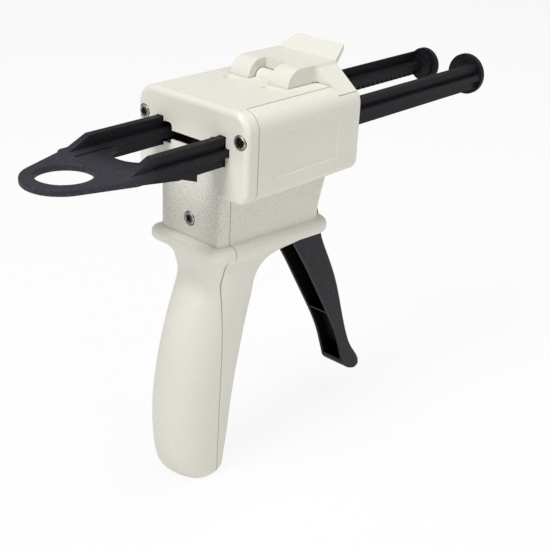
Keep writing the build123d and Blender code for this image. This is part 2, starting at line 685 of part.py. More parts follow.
# Latch: two knuckled legs, a sloping cover over the cartridge slot and a thumb tab
tab_rise = tab_tip_level - latch_top
tab_run = tab_tip - latch_front
tab_slant = hypot(tab_run, tab_rise)
tab_drop = TAB_THICKNESS * tab_run / tab_slant
tab_back = TAB_THICKNESS * tab_rise / tab_slant
latch_low = BLOCK_TOP + LATCH_GAP
wing_low = notch_level + LATCH_GAP

with BuildPart() as latch_tab:
    with BuildSketch(side_plane(0)):
        with BuildLine():
            Polyline(
                at((latch_front - TAB_THICKNESS, latch_top)), at((latch_front, latch_top)),
                at((tab_tip - tab_back, tab_tip_level)), at((tab_tip, tab_tip_level - tab_drop)),
                at((latch_front, latch_top - tab_drop - tab_back)),
                at((latch_front - TAB_THICKNESS, latch_top - tab_drop - tab_back)), close=True,
            )
        make_face()
    extrude(amount=LATCH_HALF_WIDTH, both=True)
    with BuildSketch(Plane.XY.offset(wing_low)) as tab_plan:
        with BuildLine():
            Polyline(
                (ahead(latch_front - TAB_THICKNESS), -LATCH_HALF_WIDTH),
                (ahead(latch_front), -LATCH_HALF_WIDTH),
                (ahead(tab_tip), -TAB_TIP_HALF_WIDTH), (ahead(tab_tip), TAB_TIP_HALF_WIDTH),
                (ahead(latch_front), LATCH_HALF_WIDTH),
                (ahead(latch_front - TAB_THICKNESS), LATCH_HALF_WIDTH), close=True,
            )
        make_face()
        fillet(tab_plan.vertices().sort_by(Axis.X)[-2:], radius=TAB_CORNER_R)
    extrude(amount=2 * BLOCK_TOP, mode=Mode.INTERSECT)

with BuildPart() as wings:
    with BuildSketch(cross_plane(wing_rear - WING_ROOT_R)):
        with BuildLine():
            Polyline(
                (-wing_foot, wing_low), (-wing_head, wing_head_level), (-LATCH_HALF_WIDTH, latch_top),
                (LATCH_HALF_WIDTH, latch_top), (wing_head, wing_head_level), (wing_foot, wing_low),
                close=True,
            )
        make_face()
    extrude(amount=latch_front - wing_rear + WING_ROOT_R)
    with BuildSketch(Plane.XY.offset(wing_low)) as wing_plan:
        with BuildLine():
            Polyline(
                (ahead(wing_rear - WING_ROOT_R), -LATCH_HALF_WIDTH), (ahead(wing_rear), -LATCH_HALF_WIDTH),
                (ahead(wing_rear), -wing_foot), (ahead(latch_front), -wing_foot),
                (ahead(latch_front), wing_foot), (ahead(wing_rear), wing_foot),
                (ahead(wing_rear), LATCH_HALF_WIDTH), (ahead(wing_rear - WING_ROOT_R), LATCH_HALF_WIDTH),
                close=True,
            )
        make_face()
        roots = wing_plan.vertices().filter_by(lambda v: abs(v.X - ahead(wing_rear)) < RUNNING)
        fillet(roots.filter_by(lambda v: abs(v.Y) < wing_foot - RUNNING), radius=WING_ROOT_R - RUNNING)
    extrude(amount=2 * BLOCK_TOP, mode=Mode.INTERSECT)
    with BuildSketch(cross_plane(wing_rear)):
        with Locations((0, latch_low - BLOCK_TOP / 2)):
            Rectangle(BAND, BLOCK_TOP)
    extrude(amount=-2 * WING_ROOT_R, mode=Mode.SUBTRACT)

with BuildPart() as latch:
    with BuildSketch(side_plane(0)):
        with BuildLine():
            Polyline(
                at((latch_station, latch_low)), at((latch_station, latch_top)),
                at((latch_front, latch_top)), at((latch_front, wing_low)),
                at((wing_rear, wing_low)), at((wing_rear, latch_low)), close=True,
            )
        make_face()
        with Locations((latch_x, latch_z)):
            Circle(KNUCKLE_R)
    extrude(amount=LATCH_HALF_WIDTH, both=True)
    add(wings.part)
    add(latch_tab.part)
    # the notch between the legs, round the cover's lug
    with BuildSketch(Plane.XY.offset(lug_foot)):
        with Locations((ahead(legs_front) - BODY_LENGTH / 2, 0)):
            Rectangle(BODY_LENGTH, 2 * NOTCH_HALF_WIDTH)
    extrude(amount=2 * KNUCKLE_R + tab_tip_level, mode=Mode.SUBTRACT)
    with BuildSketch(side_plane(0)):
        with Locations((latch_x, latch_z)):
            Circle(HINGE_LUG_R + 2 * LATCH_GAP)
        with Locations((latch_x, latch_low - KNUCKLE_R)):
            Rectangle(4 * KNUCKLE_R, 2 * KNUCKLE_R)
    extrude(amount=NOTCH_HALF_WIDTH, both=True, mode=Mode.SUBTRACT)
    # the pin's blind holes and the hollow underneath
    with BuildSketch(side_plane(0)):
        with Locations((latch_x, latch_z)):
            Circle(LATCH_PIN_R + RUNNING)
    extrude(amount=LATCH_PIN_HALF + RUNNING, both=True, mode=Mode.SUBTRACT)
    with BuildSketch(cross_plane(wing_rear + LATCH_SHELL)):
        with BuildLine():
            Polyline(
                (-wing_foot + 2 * LATCH_SHELL, wing_low),
                (-wing_head + LATCH_SHELL, wing_head_level - LATCH_SHELL),
                (wing_head - LATCH_SHELL, wing_head_level - LATCH_SHELL),
                (wing_foot - 2 * LATCH_SHELL, wing_low), close=True,
            )
        make_face()
    extrude(amount=latch_front - wing_rear - 2 * LATCH_SHELL, mode=Mode.SUBTRACT)
latch.part.label = "latch"
export_step(latch.part, "parts/latch.step")

with BuildPart() as latch_pin:
    with BuildSketch(side_plane(0)):
        with Locations((latch_x, latch_z)):
            Circle(LATCH_PIN_R)
    extrude(amount=LATCH_PIN_HALF, both=True)
latch_pin.part.label = "latch_pin"
export_step(latch_pin.part, "parts/latch_pin.step")

with BuildPart() as latch_spring:
    with BuildSketch(Plane.XY.offset(lug_foot)):
        with Locations((latch_x, 0)):
            Rectangle(2 * LEAF_HALF_LENGTH, 2 * (LATCH_HALF_WIDTH - STAKE_R))
            Circle(STAKE_R, mode=Mode.SUBTRACT)
    extrude(amount=-LEAF_THICKNESS)
latch_spring.part.label = "latch_spring"
export_step(latch_spring.part, "parts/latch_spring.step")

# Plunger: ring plate, fork arms and two rack rods in one moulding
engage = radians(PAWL_ENGAGE_DEG)
tip_run = PAWL_BAR_FRONT - PAWL_AXIS[0]
tip_rise = RACK_TIP - PAWL_TIP_GAP - pawl_z
tip_engaged = PAWL_AXIS[0] + tip_run * cos(engage) - tip_rise * sin(engage)
teeth_behind = int((tip_engaged - RACK_REAR) / RACK_PITCH)
first_tooth = tip_engaged + TOOTH_GAP - teeth_behind * RACK_PITCH
ring_low = RING_TOP - RING_THICKNESS

with BuildPart() as ring_plate:
    with BuildSketch(Plane.XY.offset(ring_low)):
        with BuildLine():
            CenterArc((ahead(RING_MIDDLE), 0), RING_R, 0, 360)
            Polyline(
                (ahead(PLATE_FRONT), -flange_outer), (ahead(FORK_MIDDLE), -flange_outer),
                (ahead(FORK_MIDDLE), flange_outer), (ahead(PLATE_FRONT), flange_outer), close=True,
            )
        make_hull()
        with Locations((ahead(RING_HOLE_MIDDLE), 0)):
            Circle(RING_HOLE_R, mode=Mode.SUBTRACT)
        with Locations((ahead(FORK_MIDDLE), 0)):
            Circle(rack_inner, mode=Mode.SUBTRACT)
    extrude(amount=RING_THICKNESS)
    rims = ring_plate.faces().filter_by(Plane.XY).edges()
    rims = rims.filter_by(lambda e: e.geom_type == GeomType.CIRCLE or e.center().X < ahead(PLATE_FRONT))
    fillet(rims, radius=RING_EDGE_R)

with BuildPart() as plunger:
    add(ring_plate.part)
    with BuildSketch(cross_plane(ARM_REAR)):
        add(rod_outline())
    extrude(amount=rod_end - ARM_REAR)
    # webs taper into the ring plate, and the arms keep to its outline
    for full, top, root in ((RIB_FULL, WEB_TOP, RING_TOP), (KEEL_FULL, WEB_BOTTOM, ring_low)):
        with BuildSketch(side_plane(0)):
            with BuildLine():
                Polyline(
                    at((ARM_REAR, root)), at((full, top)), at((full, 2 * top)),
                    at((ARM_REAR - RING_R, 2 * top)), at((ARM_REAR - RING_R, root)), close=True,
                )
            make_face()
        extrude(amount=2 * web_outer, both=True, mode=Mode.SUBTRACT)
    with BuildSketch():
        with BuildLine():
            CenterArc((ahead(RING_MIDDLE), 0), RING_R, 0, 360)
            Polyline(
                (ahead(PLATE_FRONT), -flange_outer), (ahead(rod_end), -flange_outer),
                (ahead(rod_end), flange_outer), (ahead(PLATE_FRONT), flange_outer), close=True,
            )
        make_hull()
    extrude(amount=BAND, both=True, mode=Mode.INTERSECT)
    for side in (-1, 1):
        # rack under the inner rail
        with BuildSketch(side_plane(side * (rack_inner + web_inner) / 2)):
            with BuildLine():
                Polyline(*rack_points(first_tooth), close=True)
            make_face()
        extrude(amount=(web_inner - rack_inner) / 2, both=True)
        # groove along the web's outer face
        with BuildSketch(cross_plane(RIB_FULL)):
            with Locations((side * web_outer, (FLANGE_HALF + GROOVE_TOP) / 2)):
                Rectangle(2 * GROOVE_DEPTH, GROOVE_TOP - FLANGE_HALF)
        extrude(amount=rod_end - HUB_LENGTH - RIB_FULL, mode=Mode.SUBTRACT)
    # stop lug under the right web, which meets the cover at the end of the stroke
    with BuildSketch(side_plane(-(web_outer + web_inner) / 2)):
        with BuildLine():
            Polyline(
                at((lug_face, WEB_BOTTOM - LUG_DEPTH)), at((lug_face, 0)),
                at((lug_face - LUG_LENGTH, 0)), at((lug_face - LUG_LENGTH, WEB_BOTTOM)), close=True,
            )
        make_face()
    extrude(amount=WEB_THICKNESS / 2, both=True)
    # inside the barrels nothing stands out past a rod's disc, and the left rod ends further back
    for (y, radius, end), side in zip(disc_places, (-1, 1)):
        with BuildSketch(cross_plane(bulkhead_rear)):
            with Locations((side * BARREL_SPACING, 0)):
                Rectangle(2 * BARREL_SPACING, 2 * BARREL_SPACING)
            with Locations((y, 0)):
                Circle(radius - DISC_EDGE, mode=Mode.SUBTRACT)
        extrude(amount=rod_end - bulkhead_rear, mode=Mode.SUBTRACT)
        with BuildSketch(cross_plane(end)):
            with Locations((side * BARREL_SPACING, 0)):
                Rectangle(2 * BARREL_SPACING, 2 * BARREL_SPACING)
        extrude(amount=BODY_LENGTH, mode=Mode.SUBTRACT)
        with BuildSketch(cross_plane(rod_end - HUB_LENGTH)):
            with Locations((y, 0)):
                Circle(HUB_R)
        extrude(amount=HUB_LENGTH + end - rod_end)
        with BuildSketch(cross_plane(end)):
            with Locations((y, 0)):
                Circle(SPIGOT_R)
        extrude(amount=SPIGOT_LENGTH)
plunger.part.label = "plunger"
export_step(plunger.part, "parts/plunger.step")

# Discs, the large one on the right rod and the small one on the left
for name, (y, radius, end) in zip(("large_disc", "small_disc"), disc_places):
    with BuildPart() as disc:
        with BuildSketch(cross_plane(end)):
            with Locations((y, 0)):
                Circle(radius)
        extrude(amount=DISC_THICKNESS)
        fillet(disc.edges().filter_by(GeomType.CIRCLE), radius=DISC_EDGE)
        with BuildSketch(cross_plane(end)):
            with Locations((y, 0)):
                Circle(SPIGOT_R)
        extrude(amount=SPIGOT_LENGTH, mode=Mode.SUBTRACT)
    disc.part.label = name
    export_step(disc.part, f"parts/{name}.step")

# Trigger: a channel open to the rear, its hub, upper arm and tail
ear_inner = PAWL_HUB_HALF + EAR_GAP
with BuildPart() as trigger:
    with BuildSketch(side_plane(0)):
        with BuildLine():
            Spline(*[at(p) for p in TRIGGER_FRONT])
            Spline(*[at(p) for p in TRIGGER_TOE])
            Spline(*[at(p) for p in TRIGGER_REAR])
            Line(at(TRIGGER_REAR[-1]), at(TRIGGER_FRONT[0]))
        make_face()
        with Locations((pin_x, pin_z)):
            Circle(TRIGGER_HUB_R)
    extrude(amount=TRIGGER_HALF_WIDTH, both=True)
    front_rims = trigger.edges().filter_by(lambda e: abs(e.center().Y) > TRIGGER_HALF_WIDTH - 0.1)
    fillet(front_rims.sort_by(lambda e: e.length)[-2:], radius=TRIGGER_EDGE_R)
    with BuildSketch(side_plane(0)):
        with BuildLine():
            CenterArc((pin_x, pin_z), TRIGGER_HUB_R, 0, 360)
            CenterArc((pawl_x, pawl_z), ARM_HEAD_R, 0, 360)
        make_hull()
    extrude(amount=TRIGGER_HALF_WIDTH, both=True)
    # the channel
    with BuildSketch(side_plane(0)):
        with BuildLine():
            Polyline(
                *[at((x - TRIGGER_FACE, z)) for x, z in TRIGGER_FRONT[3:-3]],
                *[at(p) for p in CHANNEL_TOE + CHANNEL_REAR], close=True,
            )
        make_face()
    extrude(amount=TRIGGER_HALF_WIDTH - TRIGGER_WALL, both=True, mode=Mode.SUBTRACT)
    # a thin rib across it, flush with its open side
    with BuildSketch(side_plane(0)):
        with BuildLine():
            Polyline(*[at(p) for p in CROSS_RIB], close=True)
        make_face()
    extrude(amount=TRIGGER_HALF_WIDTH - TRIGGER_WALL / 2, both=True)
    # the slot for the pawl, its spring's seat, and the tail under the trigger's spring
    with BuildSketch(Plane.XY.offset(PAWL_SEAT_LEVEL - PAWL_SLOT_DROP)):
        with Locations((pawl_x, 0)):
            Rectangle(4 * TRIGGER_HUB_R, 2 * ear_inner)
    extrude(amount=BLOCK_TOP - PAWL_SEAT_LEVEL, mode=Mode.SUBTRACT)
    with BuildSketch(Plane.XY.offset(PAWL_SEAT_LEVEL)):
        with Locations((ahead(PAWL_SPRING_X), 0)):
            Rectangle(2 * PAWL_SPRING_R + 4 * PAWL_SPRING_WIRE, 2 * ear_inner)
    extrude(amount=-TRIGGER_FACE)
    with BuildSketch(side_plane(0)):
        with Locations((ahead((TAIL_REAR + TRIGGER_AXIS[0]) / 2), TAIL_TOP - TAIL_THICKNESS / 2)):
            Rectangle(TRIGGER_AXIS[0] - TAIL_REAR, TAIL_THICKNESS)
    extrude(amount=PAWL_HUB_HALF, both=True)
    # bores for the trigger's pin and bushes and for the pawl's pin
    with BuildSketch(side_plane(0)):
        with Locations((pin_x, pin_z)):
            Circle(TRIGGER_PIN_R + ROD_CLEAR)
        with Locations((pawl_x, pawl_z)):
            Circle(PAWL_PIN_R)
    extrude(amount=BAND, both=True, mode=Mode.SUBTRACT)
    for side in (-1, 1):
        with BuildSketch(side_plane(side * bush_middle)):
            with Locations((pin_x, pin_z)):
                Circle(BUSH_R)
        extrude(amount=BUSH_LENGTH / 2, both=True, mode=Mode.SUBTRACT)
trigger.part.label = "trigger"
export_step(trigger.part, "parts/trigger.step")

with BuildPart() as trigger_bushes:
    for side in (-1, 1):
        with BuildSketch(side_plane(side * bush_middle)):
            with Locations((pin_x, pin_z)):
                Circle(BUSH_R)
                Circle(TRIGGER_PIN_R + RUNNING, mode=Mode.SUBTRACT)
        extrude(amount=BUSH_LENGTH / 2, both=True)
trigger_bushes.part.label = "trigger_bushes"
export_step(trigger_bushes.part, "parts/trigger_bushes.step")

with BuildPart() as trigger_pin:
    with BuildSketch(side_plane(0)):
        with Locations((pin_x, pin_z)):
            Circle(TRIGGER_PIN_R)
    extrude(amount=rib_inner + RIB_THICKNESS, both=True)
trigger_pin.part.label = "trigger_pin"
export_step(trigger_pin.part, "parts/trigger_pin.step")

trigger_spring = coil(
    TRIGGER_SPRING_R, TRIGGER_SPRING_WIRE, TAIL_TOP + SPRING_GAP, SPRING_SHELF_LOW - SPRING_GAP,
    TRIGGER_SPRING_TURNS, TRIGGER_SPRING_X,
)
trigger_spring.label = "trigger_spring"
export_step(trigger_spring, "parts/trigger_spring.step")

# Drive pawl: hub, crossbar and a finger under each rack
with BuildPart() as drive_pawl:
    with BuildSketch(side_plane(0)):
        with BuildLine():
            CenterArc((pawl_x, pawl_z), PAWL_HUB_R, 0, 360)
            Line(at((PAWL_BAR_REAR, PAWL_BAR_LOW + PAWL_BAR_STEP)), at((PAWL_BAR_REAR, PAWL_BAR_HIGH)))
        make_hull()
    extrude(amount=PAWL_HUB_HALF, both=True)
    with BuildSketch(side_plane(0)):
        with Locations((ahead((PAWL_BAR_REAR + PAWL_BAR_FRONT) / 2), (PAWL_BAR_LOW + PAWL_BAR_HIGH) / 2)):
            Rectangle(PAWL_BAR_FRONT - PAWL_BAR_REAR, PAWL_BAR_HIGH - PAWL_BAR_LOW)
    extrude(amount=pawl_half, both=True)
    tip_level = RACK_TIP - PAWL_TIP_GAP
    for side in (-1, 1):
        with BuildSketch(side_plane(side * (finger_inner + pawl_half) / 2)):
            with BuildLine():
                Polyline(
                    at((PAWL_BAR_REAR, PAWL_BAR_LOW)), at((PAWL_BAR_FRONT, PAWL_BAR_LOW)),
                    at((PAWL_BAR_FRONT, tip_level)), at((PAWL_BAR_FRONT - TIP_LAND, tip_level)),
                    at((PAWL_BAR_REAR, PAWL_BAR_HIGH - PAWL_BAR_STEP)), close=True,
                )
            make_face()
        extrude(amount=(pawl_half - finger_inner) / 2, both=True)
    with BuildSketch(side_plane(0)):
        with Locations((pawl_x, pawl_z)):
            Circle(PAWL_PIN_R + RUNNING)
    extrude(amount=BAND, both=True, mode=Mode.SUBTRACT)
drive_pawl.part.label = "drive_pawl"
export_step(drive_pawl.part, "parts/drive_pawl.step")

clip_middle = TRIGGER_HALF_WIDTH + RUNNING + CLIP_THICKNESS / 2
with BuildPart() as pawl_pin:
    with BuildSketch(side_plane(0)):
        with Locations((pawl_x, pawl_z)):
            Circle(PAWL_PIN_R)
    extrude(amount=clip_middle + CLIP_THICKNESS / 2 + RUNNING, both=True)
pawl_pin.part.label = "pawl_pin"
export_step(pawl_pin.part, "parts/pawl_pin.step")

with BuildPart() as pawl_clips:
    for side in (-1, 1):
        with BuildSketch(side_plane(side * clip_middle)):
            with Locations((pawl_x, pawl_z)):
                Circle(CLIP_R)
                Circle(PAWL_PIN_R, mode=Mode.SUBTRACT)
            with Locations((pawl_x, pawl_z - CLIP_R)):
                Rectangle(PAWL_PIN_R, 2 * CLIP_R, mode=Mode.SUBTRACT)
        extrude(amount=CLIP_THICKNESS / 2, both=True)
pawl_clips.part.label = "pawl_clips"
export_step(pawl_clips.part, "parts/pawl_clips.step")

pawl_spring = coil(
    PAWL_SPRING_R, PAWL_SPRING_WIRE, PAWL_SEAT_LEVEL + SPRING_GAP, PAWL_BAR_LOW - SPRING_GAP,
    PAWL_SPRING_TURNS, PAWL_SPRING_X,
)
pawl_spring.label = "pawl_spring"
export_step(pawl_spring, "parts/pawl_spring.step")

# Brake: a forked leaf whose prongs bear on the rods' webs, and its screw
with BuildPart() as brake_spring:
    with BuildSketch(Plane.XY.offset(BRAKE_LEVEL)):
        with Locations((ahead((BRAKE_REAR + BRAKE_BEND) / 2), 0)):
            Rectangle(BRAKE_BEND - BRAKE_REAR, 2 * web_outer)
    extrude(amount=BRAKE_THICKNESS)
    for side in (-1, 1):
        with BuildSketch(side_plane(side * (web_outer + web_inner) / 2)):
            with BuildLine():
                Polyline(
                    at((BRAKE_BEND, BRAKE_LEVEL)), at(BRAKE_LOW), at(BRAKE_TIP),
                    at((BRAKE_TIP[0], BRAKE_TIP[1] + BRAKE_THICKNESS)),
                    at((BRAKE_LOW[0], BRAKE_LOW[1] + BRAKE_THICKNESS)),
                    at((BRAKE_BEND, brake_seat)), close=True,
                )
            make_face()
        extrude(amount=(web_outer - web_inner) / 2, both=True)
    with BuildSketch(Plane.XY.offset(BRAKE_LEVEL)):
        with Locations((ahead(BRAKE_SCREW_X), 0)):
            Circle(SCREW_SHANK_R + RUNNING)
    extrude(amount=BRAKE_THICKNESS, mode=Mode.SUBTRACT)
brake_spring.part.label = "brake_spring"
export_step(brake_spring.part, "parts/brake_spring.step")

with BuildPart() as brake_screw:
    with BuildSketch(Plane.XY.offset(BRAKE_LEVEL)):
        with Locations((ahead(BRAKE_SCREW_X), 0)):
            Circle(SCREW_HEAD_R)
    extrude(amount=-SCREW_HEAD_HEIGHT)
    with BuildSketch(Plane.XY.offset(BRAKE_LEVEL)):
        with Locations((ahead(BRAKE_SCREW_X), 0)):
            Circle(SCREW_SHANK_R)
    extrude(amount=BLOCK_TOP - BRAKE_LEVEL - TOP_PLATE_THICKNESS)
    with BuildSketch(Plane.XY.offset(BRAKE_LEVEL - SCREW_HEAD_HEIGHT)):
        with Locations((ahead(BRAKE_SCREW_X), 0)):
            Circle(SOCKET_R)
            with PolarLocations(LOBE_RING_R, LOBES):
                Circle(LOBE_R)
    extrude(amount=SOCKET_DEPTH, mode=Mode.SUBTRACT)
brake_screw.part.label = "brake_screw"
export_step(brake_screw.part, "parts/brake_screw.step")

# Screws that hold the rear cover
for name, places in (("upper_screws", screw_places[:2]), ("lower_screw", screw_places[2:])):
    with BuildPart() as screws:
        with BuildSketch(cross_plane(SCREW_RECESS_DEPTH)):
            with Locations(*places):
                Circle(SCREW_HEAD_R)
        extrude(amount=-SCREW_HEAD_HEIGHT)
        fillet(screws.faces().group_by(Axis.X)[0].edges(), radius=SCREW_HEAD_EDGE_R)
        with BuildSketch(cross_plane(SCREW_RECESS_DEPTH)):
            with Locations(*places):
                Circle(SCREW_SHANK_R)
        extrude(amount=SCREW_LENGTH)
        with BuildSketch(cross_plane(SCREW_RECESS_DEPTH - SCREW_HEAD_HEIGHT)):
            with Locations(*places):
                Circle(SOCKET_R)
                with PolarLocations(LOBE_RING_R, LOBES):
                    Circle(LOBE_R)
        extrude(amount=SOCKET_DEPTH, mode=Mode.SUBTRACT)
    screws.part.label = name
    export_step(screws.part, f"parts/{name}.step")
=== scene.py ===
from math import cos, radians, sin

import bpy
from bpy.props import FloatProperty, FloatVectorProperty, PointerProperty
from mathutils import Matrix, Vector


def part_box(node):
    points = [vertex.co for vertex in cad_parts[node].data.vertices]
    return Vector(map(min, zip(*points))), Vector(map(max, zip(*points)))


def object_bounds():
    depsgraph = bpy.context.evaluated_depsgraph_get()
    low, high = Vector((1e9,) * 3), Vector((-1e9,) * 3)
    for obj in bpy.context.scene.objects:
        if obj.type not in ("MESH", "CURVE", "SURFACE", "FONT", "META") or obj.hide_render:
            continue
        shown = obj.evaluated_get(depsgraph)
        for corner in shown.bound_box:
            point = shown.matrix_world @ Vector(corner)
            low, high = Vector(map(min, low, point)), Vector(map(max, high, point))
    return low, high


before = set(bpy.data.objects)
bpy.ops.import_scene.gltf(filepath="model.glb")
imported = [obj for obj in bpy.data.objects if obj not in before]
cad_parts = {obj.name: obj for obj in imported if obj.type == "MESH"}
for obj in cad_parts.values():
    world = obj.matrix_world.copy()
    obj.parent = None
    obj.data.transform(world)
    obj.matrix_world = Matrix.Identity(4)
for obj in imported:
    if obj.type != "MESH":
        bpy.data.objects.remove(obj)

bl_info = {
    "name": "Dental dispensing gun",
    "version": (1, 0, 0),
    "blender": (4, 5, 0),
    "location": "View3D > Sidebar > Dispenser",
    "description": "Finishes and sets the stage for a twin-cartridge dental dispensing gun",
    "category": "Object",
}

CAD_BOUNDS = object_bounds()
MM = 0.001

SHELL_NODES = ("housing", "rear_cover", "latch")
BLACK_NODES = ("plunger", "large_disc", "small_disc")
TRIGGER_NODES = ("trigger",)
SCREW_NODES = ("upper_screws", "lower_screw")
STEEL_NODES = ("latch_pin", "trigger_pin", "pawl_pin", "drive_pawl", "brake_screw")
SPRING_NODES = ("latch_spring", "trigger_spring", "pawl_spring", "brake_spring", "pawl_clips")
BUSH_NODES = ("trigger_bushes",)

# the block's rear face, from which stations along the gun are counted
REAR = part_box("rear_cover")[0].x
# where the rear cover meets the block and the neck, and where its top plate's edges run
BLOCK_SEAM = REAR + 6.0 * MM
NECK_SEAM = REAR + 5.3 * MM
BLOCK_FOOT = -18.4 * MM
PLATE_EDGE = 22.1 * MM
PLATE_LEVEL = 14.6 * MM
PLATE_FRONT = REAR + 50.6 * MM
# how far a seam takes to fade at its end, how dark each seam is, and how much of its width is full
SEAM_END = 0.2 * MM
SEAM_DEPTHS = {"block": 0.45, "neck": 0.75, "plate": 0.3}
SEAM_CORE = 0.4

# where the neck's coarse grain and its painted shade under the plunger's arms fade in: from above,
# from below, from the sides, and to the rear
GRAIN_AND_SHADE_TOP = (-4 * MM, -15 * MM)
GRAIN_AND_SHADE_FOOT = (-38 * MM, -33 * MM)
GRAIN_AND_SHADE_SIDE = (19 * MM, 15 * MM)
GRAIN_AND_SHADE_REAR = (REAR + 4 * MM, REAR + 1 * MM)
# how much of it the neck's sides have
GRAIN_AND_SHADE_ON_SIDES = 0.4
# the polished rim along the top of the rear face, where it fades in from the front and from below
RIM_REAR = (REAR + 3.0 * MM, REAR + 1.5 * MM)
RIM_TOP = (12.5 * MM, 14.0 * MM)
# the part of the plunger's plate painted greyer: partly wear where a finger rubs it, partly painted
# sheen
RUBBED_AND_SHEEN = (REAR - 30 * MM, REAR - 44 * MM)
# where the trigger's outer skin starts, out from its middle; inside it the channel is smooth and
# has painted shade
TRIGGER_SKIN = (5.6 * MM, 6.1 * MM)
# the screws' middles, out and up, and the radii where a head's painted shade in the socket and
# painted highlight on the shoulder fade in
UPPER_SCREWS = (24.55 * MM, 5.2 * MM)
LOWER_SCREW = (0.0, -30.2 * MM)
SCREW_SOCKET_SHADE = (1.5 * MM, 1.2 * MM)
SCREW_SHOULDER_HIGHLIGHT = (1.95 * MM, 2.15 * MM)

# noise values between which a mark goes from none to full
CLOUD_STEP = (0.35, 0.7)
PIT_STEP = (0.58, 0.40)
SPECK_STEP = (0.50, 0.38)
BLACK_FLECK_STEP = (0.58, 0.70)
TRIGGER_FLECK_STEP = (0.50, 0.66)
SCREW_PATCH_STEP = (0.42, 0.60)

# noise features to a grain's length, and to the metre
COARSE_TO_GRAIN = 0.35
SPECKS_TO_GRAIN = 1.9
CREAM_CLOUDS = 18.0
BLACK_CLOUDS = 25.0
BLACK_STREAKS = 700.0
SCREW_MARKS = 1 / (0.45 * MM)
STEEL_MARKS = 4000.0
STEEL_CLOUDS = 300.0
NYLON_CLOUDS = 400.0
# how noises are stretched: along the rods, round turned metal and along drawn metal
ROD_STREAK = (0.08, 1, 1)
TURNED = (1, 0.05, 1)
DRAWN = (0.3, 0.3, 1)

# how strongly pits and specks show all over, and how much more on the neck, where the extra is
# partly grain and partly painted shade under the plunger's arms
PITS_ALL_OVER, PITS_FOR_NECK_SHADE_AND_GRAIN = 0.14, 0.36
SPECKS_ALL_OVER, SPECKS_FOR_NECK_SHADE_AND_GRAIN = 0.14, 0.80
# how much of the cream's relief is its fine grain
FINE_SHARE = 0.75

# shades of each colour, as factors of it
CREAM_SHADES = {"cloud": 0.99, "clear": 1.02, "pit": 0.74, "speck": 0.66, "seam": 0.25}
# the black's rubbed shades are partly wear and partly painted sheen on the ring
BLACK_SHADES = {"cloud": 0.8, "clear": 1.1, "rubbed_and_sheen": 3.4, "fleck": 3.5, "rubbed fleck": 9.0}
# the graphite's channel shade is painted shade inside the trigger's channel
GRAPHITE_SHADES = {"cloud": 0.75, "clear": 0.95, "fleck": 2.4, "channel": 0.25}
# the screws' socket shade is painted shade, and their shoulder shades are a painted highlight
SCREW_SHADES = {"pit": 0.12, "face": 0.62, "shoulder pit": 0.35, "shoulder": 1.25, "socket": 0.14}
STEEL_CLOUD_SHADE = 0.8
# roughness of each finish: its base, and what each of its marks adds or takes
CREAM_ROUGHNESS = {"base": 0.42, "coarse": 0.12, "pits": 0.06, "rim": -0.22}
BLACK_ROUGHNESS = {"base": 0.44, "clouds": 0.12, "streaks": 0.06}
SCREW_ROUGHNESS = {"base": 0.22, "patches": 0.25}
STEEL_ROUGHNESS = {"base": 0.8, "marks": 0.25, "clouds": 0.1}
NYLON_ROUGHNESS = {"base": 0.35, "clouds": 0.15}
# depths of the relief on bare metal and nylon
SCREW_RELIEF = 0.10 * MM
FINE_RELIEF = 0.02 * MM

# colours that a user has no need to change
WHITE = (1, 1, 1, 1)
NYLON_DARK = (0.72, 0.71, 0.67, 1)
NYLON_PALE = (0.82, 0.81, 0.78, 1)
FLOOR_COLOUR = (0.93, 0.93, 0.93, 1)
# the floor's width, and how far it lies under the grip
FLOOR_SIZE = 8.0
FLOOR_GAP = 0.2 * MM
# how much of the floor's plain white the camera and reflections see
WHITE_TO_CAMERA = 0.88
WHITE_TO_REFLECTIONS = 0.5
# each lamp's place and size; its power is the stage's property named after it
LAMPS = {
    "top": ((-0.35, 0.0, 1.0), 0.3),
    "key": ((-0.8, 0.0, 0.55), 0.3),
    "front": ((0.5, -0.2, 0.8), 0.7),
    "side": ((-0.05, -1.0, 0.1), 0.6),
    "shoulder": ((-0.1, -0.7, 0.8), 0.5),
}
# the picture's width in pixels, the sensor's in millimetres, and the nearest distance in view
PICTURE_WIDTH = 550
SENSOR_WIDTH = 36.0
NEAREST_SEEN = 0.01

# the Mix node's sockets when it mixes colours
MIX_FACTOR, MIX_FIRST, MIX_SECOND, MIX_RESULT = 0, 6, 7, 2


class Sock:
    """A shader socket that joins others, and numbers, in plain arithmetic."""

    def __init__(self, shader, socket):
        self.shader = shader
        self.socket = socket

    def _math(self, operation, *values):
        node = self.shader.node("ShaderNodeMath", {"operation": operation}, dict(enumerate(values)))
        return Sock(self.shader, node.outputs[0])

    def __add__(self, other):
        return self._math("ADD", self, other)

    def __sub__(self, other):
        return self._math("SUBTRACT", self, other)

    def __rsub__(self, other):
        return self._math("SUBTRACT", other, self)

    def __mul__(self, other):
        return self._math("MULTIPLY", self, other)

    def __pow__(self, other):
        return self._math("POWER", self, other)

    def __abs__(self):
        return self._math("ABSOLUTE", self)

    def least(self, other):
        """The lesser of this value and another."""
        return self._math("MINIMUM", self, other)

    def clamp(self):
        """This value kept between 0 and 1."""
        return self._math("MAXIMUM", self, 0.0).least(1.0)

    __radd__ = __add__
    __rmul__ = __mul__


